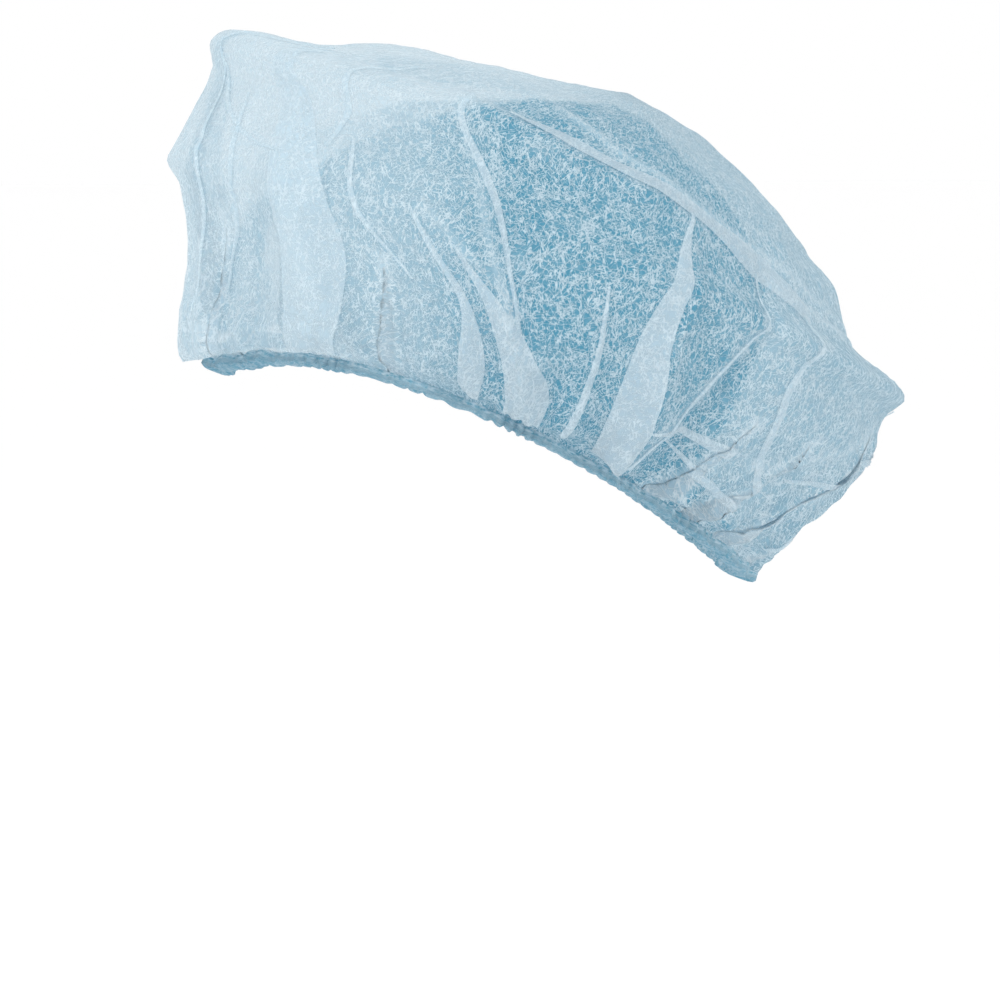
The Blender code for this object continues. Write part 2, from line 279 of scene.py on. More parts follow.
# Strips of cloth laid flat over the crown, for the upper layers of its pleats and the ridges of
# its sharpest creases. Each row is the angle in degrees, the height and the half width in
# millimetres.
LAYER_ROWS = 60
LAYER_COLUMNS = 9
LAYER_LIFT = 0.0006
LAYER_RISE = 0.0004
LAYER_LEAST_HALF_WIDTH = 0.3
LAYER_LOWEST = 0.004
LAYER_HIGHEST = 0.98
# Share of the painted shade that the laid strips take
LAYER_SHADE_SHARE = 0.35
CLOTH_RISE = 0.20
MILLIMETRES = 1000
LAYERS = {
    "front_fold": (
        (44, 0.01, 8.0), (43, 0.17, 9.5), (42, 0.34, 10.0), (38, 0.50, 7.0), (33, 0.66, 5.5),
        (29, 0.79, 2.5),
    ),
    "temple_pleat": (
        (74, 0.02, 3.4), (72, 0.15, 3.6), (69, 0.28, 1.6), (63, 0.40, 1.0), (58, 0.49, 0.4),
    ),
    "ear_wedge": (
        (84, 0.02, 4.4), (82, 0.13, 6.2), (77, 0.24, 4.4), (72, 0.33, 2.2), (66, 0.43, 0.4),
    ),
    "long_crease": (
        (81, 0.02, 0.7), (77, 0.30, 0.6), (72, 0.51, 0.8), (65, 0.68, 1.2), (60, 0.80, 0.5),
    ),
    "thin_pleat": ((91, 0.06, 1.3), (90, 0.27, 0.9), (88, 0.48, 0.3)),
    "rear_wedge": (
        (101, 0.02, 5.4), (99, 0.19, 5.8), (97.5, 0.38, 4.2), (98, 0.57, 2.2), (100, 0.75, 0.4),
    ),
    "slanted_crease": ((104, 0.08, 0.8), (110, 0.36, 0.7), (117, 0.67, 0.5)),
    "crown_band": (
        (66, 0.80, 1.2), (76, 0.79, 2.4), (88, 0.775, 3.0), (98, 0.755, 3.5), (108, 0.72, 4.5),
        (118, 0.68, 6.0), (130, 0.62, 4.0),
    ),
    "short_pleat": ((102, 0.18, 0.5), (110, 0.20, 2.0), (121, 0.21, 4.0)),
    "low_tuck": ((108, 0.15, 0.6), (120, 0.12, 2.0), (131, 0.09, 1.8)),
    "pouch_edge": ((128, 0.62, 0.8), (124, 0.45, 1.2), (126, 0.28, 1.6), (130, 0.12, 1.0)),
    "pouch_crease": ((137, 0.21, 0.8), (160, 0.33, 1.2), (180, 0.44, 0.8)),
    "pouch_pleat": ((140, 0.05, 2.5), (148, 0.22, 2.2), (162, 0.42, 0.8)),
    "nape_crease": ((150, 0.05, 0.8), (166, 0.30, 1.0), (178, 0.52, 0.5)),
    "brow_crease": ((9, 0.74, 0.5), (16, 0.60, 1.0), (26, 0.52, 0.9), (36, 0.50, 0.5)),
    "brow_ridge": ((29, 0.80, 0.5), (18, 0.78, 0.9), (9, 0.74, 0.5)),
    "front_ridge": ((12, 0.08, 0.6), (14, 0.40, 0.9), (10, 0.72, 0.5)),
    "forehead_crease": ((22, 0.62, 0.5), (24, 0.40, 0.9), (20, 0.14, 0.6)),
    "flank_crease": ((46, 0.60, 0.5), (50, 0.44, 0.9), (60, 0.30, 0.6)),
    "high_crease": ((40, 0.84, 0.5), (44, 0.70, 1.0), (42, 0.56, 0.6)),
    "right_front_fold": ((-34, 0.05, 8.0), (-32, 0.34, 9.0), (-24, 0.62, 5.0), (-18, 0.78, 2.0)),
    "right_wedge": ((-70, 0.02, 5.5), (-67, 0.20, 6.0), (-60, 0.44, 2.6), (-56, 0.62, 0.4)),
    "right_rear_wedge": ((-99, 0.02, 6.0), (-98, 0.20, 6.6), (-95, 0.46, 3.0), (-92, 0.70, 0.4)),
    "right_crease": ((-80, 0.05, 0.8), (-72, 0.44, 0.8), (-64, 0.80, 0.5)),
    "right_band": ((-66, 0.82, 1.2), (-90, 0.775, 3.0), (-112, 0.70, 4.5), (-130, 0.62, 3.0)),
    "right_pouch_crease": ((-132, 0.18, 0.8), (-158, 0.34, 1.2), (-178, 0.46, 0.8)),
}

# Where the cloth is painted a darker blue as the camera sees it, as painted shade of the shaded
# hollow seen through the cloth, in thousandths of the picture's width
FLANK_SHADE_OUTLINE = (
    (322, 160), (400, 124), (478, 102), (530, 98), (612, 101), (650, 122), (700, 168), (744, 220),
    (768, 272), (771, 330), (738, 402), (700, 470), (735, 530), (700, 545), (600, 472), (480, 424),
    (400, 385), (345, 345), (318, 290), (296, 225),
)
FRONT_SHADE_PATCH = (
    (210, 332), (214, 276), (234, 232), (258, 196), (300, 166), (308, 172), (282, 196), (271, 228),
    (268, 256), (280, 298), (281, 330),
)
TOP_SHADE_BAND = (
    (360, 46), (460, 60), (560, 88), (640, 96), (700, 150), (765, 215), (790, 262), (762, 262),
    (740, 232), (690, 168), (650, 122), (612, 101), (530, 96), (440, 86), (380, 74),
)

# Each zone's deepest blue of painted shade, how far it spreads past its outline, and how soft its
# edge is
Zone = namedtuple("Zone", "outline blue margin softness")
FLANK_SHADE_ZONE = Zone(outline=FLANK_SHADE_OUTLINE, blue=1.00, margin=2, softness=7)
FRONT_SHADE_ZONE = Zone(outline=FRONT_SHADE_PATCH, blue=0.50, margin=2, softness=7)
TOP_SHADE_ZONE = Zone(outline=TOP_SHADE_BAND, blue=0.42, margin=4, softness=12)
ZONE_WANDER = 5
FLANK_FRONT_SHARE = 0.50
FLANK_FADE_START = 390
FLANK_FADE_SPAN = 130
# Painted shade over the whole cloth: a little in front, more toward the back
FRONT_SHADE = 0.13
BACK_SHADE_GAIN = 0.54
BACK_SHADE_START = 430
BACK_SHADE_SPAN = 300

# Camera, at the photograph's angle
CAMERA_AZIMUTH = math.radians(78)
CAMERA_ELEVATION = math.radians(5)
CAMERA_DISTANCE = 1.6
SEEN_WIDTH = 0.350
SENSOR_WIDTH = 36
AIM_RIGHT = 0.0070
AIM_UP = -0.0112
PICTURE_WIDTH = 1000

# Stage
FLOOR_SIZE = 60
FLOOR_HEIGHT = -0.45

# Colours as sRGB, 0 to 255
PALE_BLUE = (214, 232, 241)
MIDDLE_BLUE = (158, 203, 222)
# Deep teal is the painted shade of the hollow seen through the crown, and also the hem's lower edge
DEEP_TEAL = (72, 148, 176)
FIBRE_LIGHT = (232, 243, 248)
HEM_TEAL = (112, 176, 198)
ELASTIC_PALE = (214, 228, 232)
BACKDROP_WHITE = (255, 255, 255)

# Looks of the cloth
CLOTH_ROUGHNESS = 0.72
CLOTH_SHEEN = 0.25
CLOTH_SHEEN_ROUGHNESS = 0.5
CLOTH_SPECULAR = 0.25
ELASTIC_ROUGHNESS = 0.6
FLOOR_ROUGHNESS = 0.9
CROWN_THROUGH = 0.45
HEM_THROUGH = 0.30
BUMP_STRENGTH = 0.6
CREASE_PALENESS = 0.8
OVERLAP_PALENESS = 0.7
OVERLAP_HALF_WIDTH = 0.74
OVERLAP_EDGE = 0.12
OVERLAP_END = 0.15
SPECKLE_SHARE = 0.30
PLEAT_SHARE = 0.85
FIBRE_SHARE = 0.80
HEM_FIBRE_SHARE = 0.35
HEM_EDGE_SHARE = 0.75

# How opaque the cloth is at least, and what each thing adds
CROWN_OPACITY = 0.48
FIBRE_OPACITY = 0.25
PLEAT_OPACITY = 0.16
# The painted shade also adds opacity
SHADE_OPACITY = 0.34
CLOUD_OPACITY = 0.12
HEM_OPACITY = 0.72
HEM_GRAIN_OPACITY = 0.25

# Fibres in the cloth: the turn in degrees, how far they are drawn out, scale and line width
FIBRE_SETS = (
    (8, 0.16, 560, 0.020),
    (-14, 0.18, 470, 0.020),
    (27, 0.20, 500, 0.018),
    (-38, 0.22, 540, 0.018),
    (72, 0.25, 420, 0.015),
)


def linear(colour):
    """Linear red, green, blue and alpha of an sRGB colour."""
    shares = [value / 255 for value in colour]
    lifted = [v / 12.92 if v <= 0.04045 else ((v + 0.055) / 1.055) ** 2.4 for v in shares]
    return (*lifted, 1)


def smooth_bump(distance, spread):
    """1 at no distance, falling smoothly to 0 at the spread."""
    return np.clip(1 - (distance / spread) ** 2, 0, None) ** 2


def smooth_step(value):
    """0 below 0, 1 above 1 and smooth between."""
    share = np.clip(value, 0, 1)
    return share * share * (3 - 2 * share)


def smooth_curve(knots, values, places):
    """Values at any places, on a smooth curve through the given ones."""
    slopes = np.gradient(values, knots)
    index = np.clip(np.searchsorted(knots, places, side="right") - 1, 0, len(knots) - 2)
    span = knots[index + 1] - knots[index]
    share = (places - knots[index]) / span
    start = (1 + 2 * share) * (1 - share) ** 2 * values[index]
    end = share**2 * (3 - 2 * share) * values[index + 1]
    leaving = share * (1 - share) ** 2 * span * slopes[index]
    arriving = share**2 * (share - 1) * span * slopes[index + 1]
    return start + end + leaving + arriving


def section_share(column, heights):
    """The value of one column of SECTIONS at any height."""
    knots = np.array([section.height for section in SECTIONS])
    values = np.array([getattr(section, column) for section in SECTIONS])
    return smooth_curve(knots, values, heights)


def rim_arch(angles):
    """How far the opening's edge rises at its two sides, more at the right one."""
    leaned = angles + ARCH_LEAD * np.sin(angles)
    rise = np.hypot(np.sin(leaned), ARCH_ROUNDING) - ARCH_ROUNDING
    full_rise = math.hypot(1, ARCH_ROUNDING) - ARCH_ROUNDING
    slant = RIM_SLANT * np.sin(angles) * (1 - SLANT_LEAN * np.cos(angles))
    return RIM_ARCH * rise / full_rise - slant


def rim_outward(angles):
    """Unit vectors that point out of the opening's ellipse, in its own plane."""
    across = np.sin(angles) / RIM_WIDTH
    along = -np.cos(angles) / RIM_LENGTH
    length = np.hypot(across, along)
    return np.stack([across / length, along / length, np.zeros_like(angles)], axis=-1)


def rim_point(angles, offset, height):
    """Points moved out from the opening's ellipse and up from its plane."""
    x = RIM_WIDTH / 2 * np.sin(angles)
    y = -RIM_LENGTH / 2 * np.cos(angles)
    z = height + rim_arch(angles)
    return np.stack([x, y, z], axis=-1) + rim_outward(angles) * np.expand_dims(offset, -1)


def gather_wave(angles):
    """The broad ruffle round the opening, from 0 in its valleys to GATHER_DEPTH."""
    drift = GATHER_DRIFT * np.sin(2 * angles + 1)
    return GATHER_DEPTH * (1 + np.cos(GATHERS * angles + drift)) / 2


def ruffle_wave(angles):
    """The fine uneven scallops of the edge."""
    drift = sum(size * np.sin(turns * angles + phase) for size, turns, phase in RUFFLE_DRIFTS)
    swell = RUFFLE_RANGE
    for turns, phase in RUFFLE_SWELLS:
        swell = swell * np.sin(turns * angles + phase)
    fine = FINE_RUFFLE_SHARE * np.cos(2 * RUFFLES * angles + FINE_RUFFLE_DRIFT * drift + 1)
    return RUFFLE_DEPTH * (RUFFLE_LEAST + swell) * (np.cos(RUFFLES * angles + drift) + fine)


def crown_surface(angles, heights):
    """Points of the crown before its folds and gathers, for arrays of angles and heights."""
    rim = section_share("rim", heights)
    half_length = rim * RIM_LENGTH / 2
    front = half_length + section_share("front", heights) * CROWN_FRONT
    back = half_length + section_share("back", heights) * CROWN_BACK
    side = rim * RIM_WIDTH / 2 + section_share("side", heights) * CROWN_WIDTH / 2
    ahead = np.cos(angles) > 0
    front_point = smooth_bump(heights - FRONT_CORNER.height, FRONT_CORNER.spread)
    back_point = smooth_bump(heights - BACK_CORNER.height, BACK_CORNER.spread)
    point = np.where(
        ahead, front_point * FRONT_CORNER.sharpness, back_point * BACK_CORNER.sharpness
    )
    x = side * np.sign(np.sin(angles)) * np.abs(np.sin(angles)) ** (1 + point)
    y = -np.where(ahead, front, back) * np.cos(angles)
    z = HEM_TOP + heights * (CROWN_HEIGHT - HEM_TOP)
    z = z + rim_arch(angles) * (1 - heights) ** ARCH_FADE
    brow = np.clip(np.cos(angles), 0, None) ** BROW_SAG_NARROWNESS
    z = z - BROW_SAG * brow * smooth_bump(heights - SAG_HEIGHT, SAG_HEIGHT)
    return np.stack([x, y, z], axis=-1)


def surface_normals(angles, heights):
    """Outward unit normals of the crown before its folds."""
    low = np.clip(heights - SURFACE_STEP, 0, None)
    high = np.clip(heights + SURFACE_STEP, None, 1)
    around = crown_surface(angles + SURFACE_STEP, heights)
    around = around - crown_surface(angles - SURFACE_STEP, heights)
    upward = crown_surface(angles, high) - crown_surface(angles, low)
    normals = np.cross(around, upward)
    length = np.linalg.norm(normals, axis=-1, keepdims=True)
    return normals / np.maximum(length, SHORTEST_NORMAL)


def row_heights():
    """Heights of the crown's rows, spaced evenly over the cloth, and the lengths up to them."""
    fine = np.linspace(0, 1, PROFILE_SAMPLES)
    total = 0
    for angle in PROFILE_ANGLES:
        profile = crown_surface(np.full_like(fine, angle), fine)
        steps = np.linalg.norm(np.diff(profile, axis=0), axis=-1)
        total = total + np.concatenate([[0], np.cumsum(steps)]) / len(PROFILE_ANGLES)
    lengths = np.linspace(0, total[-1], CROWN_ROWS)
    return np.interp(lengths, total, fine), lengths


def near_path(points, fold, width, taper):
    """How near each point is to a fold's line, from 0 to 1, less toward the line's end."""
    run = np.linspace(0, 1, FOLD_SAMPLES)
    path_angles = np.radians(fold.angle + (fold.end_angle - fold.angle) * run)
    path_heights = fold.height + (fold.end_height - fold.height) * run
    path = crown_surface(path_angles, path_heights)
    nearest = np.zeros(points.shape[:-1])
    for start, end, share in zip(path[:-1], path[1:], run[:-1]):
        step = end - start
        along = np.clip((points - start) @ step / (step @ step), 0, 1)
        distance = np.linalg.norm(points - start - along[..., None] * step, axis=-1)
        here = share + along / (FOLD_SAMPLES - 1)
        reach = width * (1 - taper * here)
        nearness = np.clip(1 - distance / reach, 0, None) ** FOLD_SHARPNESS * (1 - here**3)
        nearest = np.maximum(nearest, nearness)
    return nearest


def noise_field(points, grain):
    """Smooth noise at points, from about -1 to 1."""
    shifted = points.reshape(-1, 3) / grain.size + grain.offset
    values = [noise.noise(Vector(point)) for point in shifted]
    return np.reshape(values, points.shape[:-1])


def ridged_noise(points, grain):
    """Noise with sharp ridges where the smooth noise passes through 0."""
    return 0.5 - np.abs(noise_field(points, grain)) * 2


def pleated(angles, heights):
    """Angles drawn back over themselves at pleats, the layers' lift, and where they overlap."""
    moved = angles.copy()
    lift = np.zeros_like(angles)
    mask = np.zeros_like(angles)
    for pleat in PLEATS:
        run = heights / pleat.end_height
        left = np.clip(1 - run, 0, 1) ** PLEAT_TAPER
        overlap = pleat.overlap * PLEAT_OVERLAP / MEAN_RADIUS * left
        swing = overlap / PLEAT_REACH
        width = np.maximum(swing, PLEAT_LEAST_WIDTH / MEAN_RADIUS)
        middle = np.radians(pleat.angle + (pleat.end_angle - pleat.angle) * run)
        away = (angles - middle + math.pi) % (2 * math.pi) - math.pi
        x = away / width
        inside = np.abs(x) < 1
        turn = np.sin(math.pi * x) * (1 + np.cos(math.pi * x)) / 2
        moved = moved - np.where(inside, swing * turn, 0)
        faced = x * pleat.side
        rise = smooth_step((faced + PLEAT_RISE_START) / PLEAT_RISE_SPAN)
        rise = rise * (1 - smooth_step((faced - PLEAT_EDGE) / PLEAT_EDGE_SPAN))
        strength = PLEAT_END_STRENGTH + (1 - PLEAT_END_STRENGTH) * left
        strength = np.clip(swing / width, 0, 1) * strength
        lift = lift + np.where(inside, PLEAT_LIFT * strength * rise, 0)
        layers = smooth_step((OVERLAP_HALF_WIDTH - np.abs(x)) / OVERLAP_EDGE)
        mask = np.maximum(mask, layers * smooth_step(left / OVERLAP_END))
    return moved, lift, mask


def crown_relief(points, angles, heights):
    """How far folds, creases, crumples and gathers lift the cloth, and how near its creases are."""
    folds = 0
    for fold in FOLDS:
        nearness = near_path(points, fold, fold.width * FOLD_WIDTH, FOLD_TAPER)
        folds = folds + fold.depth * FOLD_DEPTH * nearness
    creases = np.zeros_like(heights)
    for crease in CREASES:
        nearness = near_path(points, crease, crease.width * CREASE_WIDTH, 0)
        creases = np.maximum(creases, crease.depth * nearness)
    crumple = CRUMPLE_DEPTH * noise_field(points, CRUMPLES)
    wrinkle = WRINKLE_DEPTH * (WRINKLE_MIDDLE - np.abs(noise_field(points, WRINKLES)))
    wrinkle = wrinkle + FINE_WRINKLE_DEPTH * noise_field(points, FINE_WRINKLES)
    radial = [np.sin(angles) * TENSION_ROUND, np.cos(angles) * TENSION_ROUND]
    radial = np.stack([*radial, heights * TENSION_RISE], axis=-1)
    tension = ridged_noise(radial, TENSION_LINES)
    tension = tension + FINE_TENSION_SHARE * ridged_noise(radial, FINE_TENSION_LINES)
    tension = TENSION_DEPTH * tension * np.clip(1 - heights / TENSION_HEIGHT, 0, 1) ** TENSION_FADE
    started = np.clip(heights / FOLD_START_HEIGHT, 0, 1)
    fading = np.clip(1 - heights / GATHER_FADE_HEIGHT, 0, 1) ** 2
    gathers = gather_wave(angles) * (1 + GATHER_SWELL * heights) * fading
    ruffles = ruffle_wave(angles) * np.exp(-heights / RUFFLE_FADE)
    relief = folds + crumple + wrinkle + tension + CREASE_DEPTH * creases
    return relief * started + gathers + ruffles, creases


def tilted(points):
    """Points turned with the opening's plane, which slopes down to the back."""
    cosine = math.cos(RIM_TILT)
    sine = math.sin(RIM_TILT)
    x, y, z = np.moveaxis(points, -1, 0)
    return np.stack([x, y * cosine + z * sine, z * cosine - y * sine], axis=-1)


def grid_mesh(name, points, close_rows=False, round_rows=True, top=None):
    """A mesh of quads over a grid of points, whose rows run round or have two ends."""
    rows, columns = points.shape[:2]
    low = np.arange(rows * columns).reshape(rows, columns)
    last_row = rows if close_rows else rows - 1
    last_column = columns if round_rows else columns - 1
    above = np.roll(low, -1, axis=0)
    right = np.roll(low, -1, axis=1)
    above_right = np.roll(above, -1, axis=1)
    quads = np.stack([low, right, above_right, above], axis=-1)[:last_row, :last_column]
    faces = quads.reshape(-1, 4).tolist()
    corners = points.reshape(-1, 3).tolist()
    if top is not None:
        for column in range(columns):
            next_column = (column + 1) % columns
            faces.append([int(low[-1, column]), int(low[-1, next_column]), len(corners)])
        corners.append(list(top))
    mesh = bpy.data.meshes.new(name)
    mesh.from_pydata(corners, [], faces)
    mesh.shade_smooth()
    obj = bpy.data.objects.new(name, mesh)
    bpy.context.scene.collection.objects.link(obj)
    return obj


def give_attribute(obj, name, values):
    attribute = obj.data.attributes.new(name, "FLOAT", "POINT")
    attribute.data.foreach_set("value", np.asarray(values, np.float32).ravel())


def give_uv(obj, around, along):
    """Gives each point its place round the cap and along the cloth, in metres."""
    layer = obj.data.uv_layers.new(name="cloth")
    corners = np.empty(len(obj.data.loops), np.int32)
    obj.data.loops.foreach_get("vertex_index", corners)
    starts = np.empty(len(obj.data.polygons), np.int32)
    obj.data.polygons.foreach_get("loop_start", starts)
    place = np.stack([np.ravel(around), np.ravel(along)], axis=-1)[corners]
    turn = 2 * math.pi * MEAN_RADIUS
    first = np.repeat(place[starts, 0], np.diff(np.append(starts, len(corners))))
    place[:, 0] -= turn * np.round((place[:, 0] - first) / turn)
    layer.data.foreach_set("uv", place.astype(np.float32).ravel())


def around_cap(angles):
    """Lengths round the cap, which start again at the right of the back."""
    return (angles - TEXTURE_START) % (2 * math.pi) * MEAN_RADIUS


def camera_axes():
    """The camera's right, up and forward directions."""
    forward = Vector(
        (
            -math.sin(CAMERA_AZIMUTH) * math.cos(CAMERA_ELEVATION),
            math.cos(CAMERA_AZIMUTH) * math.cos(CAMERA_ELEVATION),
            -math.sin(CAMERA_ELEVATION),
        )
    )
    right = Vector((math.cos(CAMERA_AZIMUTH), math.sin(CAMERA_AZIMUTH), 0))
    return right, right.cross(forward), forward


def seen_place(points):
    """Where the camera sees points, or their mirror images from the right side of the cap."""
    right, up, forward = (np.array(axis) for axis in camera_axes())
    near = points.copy()
    near[..., 0] = np.abs(near[..., 0])
    away = near - (right * AIM_RIGHT + up * AIM_UP)
    scale = PICTURE_WIDTH * CAMERA_DISTANCE / SEEN_WIDTH / (CAMERA_DISTANCE + away @ forward)
    middle = PICTURE_WIDTH / 2
    return middle + (away @ right) * scale, middle - (away @ up) * scale


def depth_inside(across, down, outline):
    """How far inside a closed outline each place is, below 0 outside it."""
    nearest = np.full(across.shape, np.inf)
    inside = np.zeros(across.shape, bool)
    for (x0, y0), (x1, y1) in zip(outline, outline[1:] + outline[:1]):
        step_x = x1 - x0
        step_y = y1 - y0
        share = ((across - x0) * step_x + (down - y0) * step_y) / (step_x**2 + step_y**2)
        share = np.clip(share, 0, 1)
        distance = np.hypot(across - x0 - share * step_x, down - y0 - share * step_y)
        nearest = np.minimum(nearest, distance)
        if step_y:
            crossing = across < step_x * (down - y0) / step_y + x0
            inside ^= ((y0 > down) != (y1 > down)) & crossing
    return np.where(inside, nearest, -nearest)


def zone_shade(across, down, wander, zone):
    """How much painted shade one zone gives each place, as a darker blue, with a soft wandering
    edge.
    """
    inside = depth_inside(across, down, zone.outline) + wander + zone.margin
    return zone.blue * smooth_step(inside / zone.softness)


def see_through_shade(points):
    """How deep the painted shade is, from 0 to 1: the shaded hollow seen through the cloth, painted
    as a darker blue, deepest over the flanks, palest in front.
    """
    across, down = seen_place(points)
    wander = ZONE_WANDER * noise_field(points, SHADE_EDGES)
    backward = smooth_step((across - FLANK_FADE_START) / FLANK_FADE_SPAN)
    flank_shade = zone_shade(across, down, wander, FLANK_SHADE_ZONE)
    flank_shade = flank_shade * (FLANK_FRONT_SHARE + (1 - FLANK_FRONT_SHARE) * backward)
    patch = zone_shade(across, down, wander, FRONT_SHADE_ZONE)
    band = zone_shade(across, down, wander, TOP_SHADE_ZONE)
    general = FRONT_SHADE + BACK_SHADE_GAIN * smooth_step((across - BACK_SHADE_START) / BACK_SHADE_SPAN)
    return np.maximum(np.maximum(flank_shade, patch), np.maximum(general, band))


def cloth_points(angles, heights):
    """Points of the finished cloth, their outward directions and where its layers are pale."""
    moved, lift, mask = pleated(angles, heights)
    points = crown_surface(moved, heights)
    relief, creases = crown_relief(points, moved, heights)
    started = np.clip(heights / FOLD_START_HEIGHT, 0, 1)[..., None]
    outward = rim_outward(moved) * (1 - started) + surface_normals(moved, heights) * started
    outward = outward / np.linalg.norm(outward, axis=-1, keepdims=True)
    rim_room = np.clip(heights / RIM_ROOM_HEIGHT, RIM_LEAST_LIFT, 1)
    points = points + outward * (relief + lift * rim_room)[..., None]
    return points, outward, np.maximum(OVERLAP_PALENESS * mask, CREASE_PALENESS * creases)


def make_crown(heights, lengths):
    angles = np.linspace(0, 2 * math.pi, CROWN_COLUMNS, endpoint=False)
    height_grid, angle_grid = np.meshgrid(heights[:-1], angles, indexing="ij")
    points, _, pale = cloth_points(angle_grid, height_grid)
    points[0, :, 2] -= SEAM_LAP
    top = crown_surface(np.array(0.0), np.array(1.0))
    turned = tilted(points)
    crown = grid_mesh("bouffant_cloth", turned, top=tilted(top))
    along = np.broadcast_to(lengths[:-1, None], angle_grid.shape)
    give_uv(crown, np.append(around_cap(angle_grid), 0), np.append(along, lengths[-1]))
    # The painted shade of the hollow seen through the cloth, fixed to the camera's view
    give_attribute(crown, "flank_shade", np.append(see_through_shade(turned), 0))
    give_attribute(crown, "pleat", np.append(pale, 0))
    return crown


def make_layer(name, stations, heights, lengths):
    """One flat layer or ridge that lies on the cloth along the line of its stations."""
    knots = np.linspace(0, 1, len(stations))
    run = np.linspace(0, 1, LAYER_ROWS)
    columns = np.array(stations, float).T
    path_angle, path_height, half_width = (smooth_curve(knots, c, run) for c in columns)
    path = np.stack([np.radians(path_angle) * MEAN_RADIUS, path_height * CLOTH_RISE], axis=-1)
    forward = np.gradient(path, axis=0)
    forward = forward / np.linalg.norm(forward, axis=-1, keepdims=True)
    across = np.stack([forward[:, 1], -forward[:, 0]], axis=-1)
    side = np.linspace(-1, 1, LAYER_COLUMNS)
    half_width = np.maximum(half_width, LAYER_LEAST_HALF_WIDTH) / MILLIMETRES
    reach = half_width[:, None, None] * side[None, :, None]
    place = path[:, None, :] + across[:, None, :] * reach
    angle_grid = place[..., 0] / MEAN_RADIUS
    height_grid = np.clip(place[..., 1] / CLOTH_RISE, LAYER_LOWEST, LAYER_HIGHEST)
    points, outward, _ = cloth_points(angle_grid, height_grid)
    lift = LAYER_LIFT + LAYER_RISE * (1 - side**2)
    turned = tilted(points + outward * lift[None, :, None])
    layer = grid_mesh(name, turned, round_rows=False)
    give_uv(layer, around_cap(angle_grid), np.interp(height_grid, heights, lengths))
    # The laid strips take a share of the painted shade
    give_attribute(layer, "flank_shade", LAYER_SHADE_SHARE * see_through_shade(turned))
    give_attribute(layer, "pleat", np.ones(turned.shape[:-1]))
    return layer


def ring_profile(count):
    """Points of a rounded box from -1 to 1 each way, running round from its outer side."""
    turn = np.linspace(0, 2 * math.pi, count, endpoint=False)
    across = np.sign(np.cos(turn)) * np.abs(np.cos(turn)) ** HEM_ROUNDNESS
    upward = np.sign(np.sin(turn)) * np.abs(np.sin(turn)) ** HEM_ROUNDNESS
    return across, upward


def make_hem():
    """The folded edge, ruffled outside and in, with a finely scalloped lower edge."""
    angles = np.linspace(0, 2 * math.pi, HEM_COLUMNS, endpoint=False)
    across, upward = ring_profile(HEM_POINTS)
    across = across[:, None]
    upward = upward[:, None]
    wave = gather_wave(angles)[None, :] + ruffle_wave(angles)[None, :]
    inner_wave = INNER_GATHER_SHARE * gather_wave(angles + INNER_GATHER_LAG)[None, :]
    inner_wave = inner_wave + ruffle_wave(angles + INNER_RUFFLE_LAG)[None, :]
    outer = HEM_OUTSIDE + wave
    inner = -HEM_INSIDE - inner_wave
    offset = inner + (outer - inner) * (across + 1) / 2
    scallop = SCALLOP_SHARE * ruffle_wave(angles + SCALLOP_LAG)[None, :]
    height = HEM_BOTTOM + (HEM_TOP - HEM_BOTTOM) * (upward + 1) / 2
    height = height + np.where(upward < 0, scallop, UPPER_SCALLOP_SHARE * scallop)
    pucker = PUCKER_DEPTH * np.cos(RUFFLES * 2 * angles + PUCKER_TWIST * upward)
    points = rim_point(np.broadcast_to(angles, offset.shape), offset + pucker, height)
    hem = grid_mesh("gathered_hem", tilted(points), close_rows=True)
    around = np.broadcast_to(angles * MEAN_RADIUS, offset.shape)
    profile_run = np.broadcast_to(np.linspace(0, HEM_GIRTH, HEM_POINTS)[:, None], offset.shape)
    give_uv(hem, around, profile_run)
    edge = smooth_step((-upward - HEM_EDGE_START) / HEM_EDGE_SPAN)
    give_attribute(hem, "edge", np.broadcast_to(edge, offset.shape))
    return hem


def make_elastic():
    """The flat ribbed band that gathers the hem."""
    angles = np.linspace(0, 2 * math.pi, ELASTIC_COLUMNS, endpoint=False)
    across, upward = ring_profile(ELASTIC_POINTS)
    rib = ELASTIC_RIB * np.cos(2 * math.pi * np.arange(ELASTIC_COLUMNS) / RIB_COLUMNS)
    offset = -ELASTIC_INSET + across[:, None] * (ELASTIC_HALF_WIDTH + rib)
    height = ELASTIC_RISE + upward[:, None] * np.full_like(angles, ELASTIC_HALF_HEIGHT)
    points = rim_point(np.broadcast_to(angles, offset.shape), offset, height)
    elastic = grid_mesh("ribbed_elastic", tilted(points), close_rows=True)
    around = np.broadcast_to(angles * MEAN_RADIUS, offset.shape)
    profile_run = np.linspace(0, ELASTIC_GIRTH, ELASTIC_POINTS)[:, None]
    give_uv(elastic, around, np.broadcast_to(profile_run, offset.shape))
    return elastic


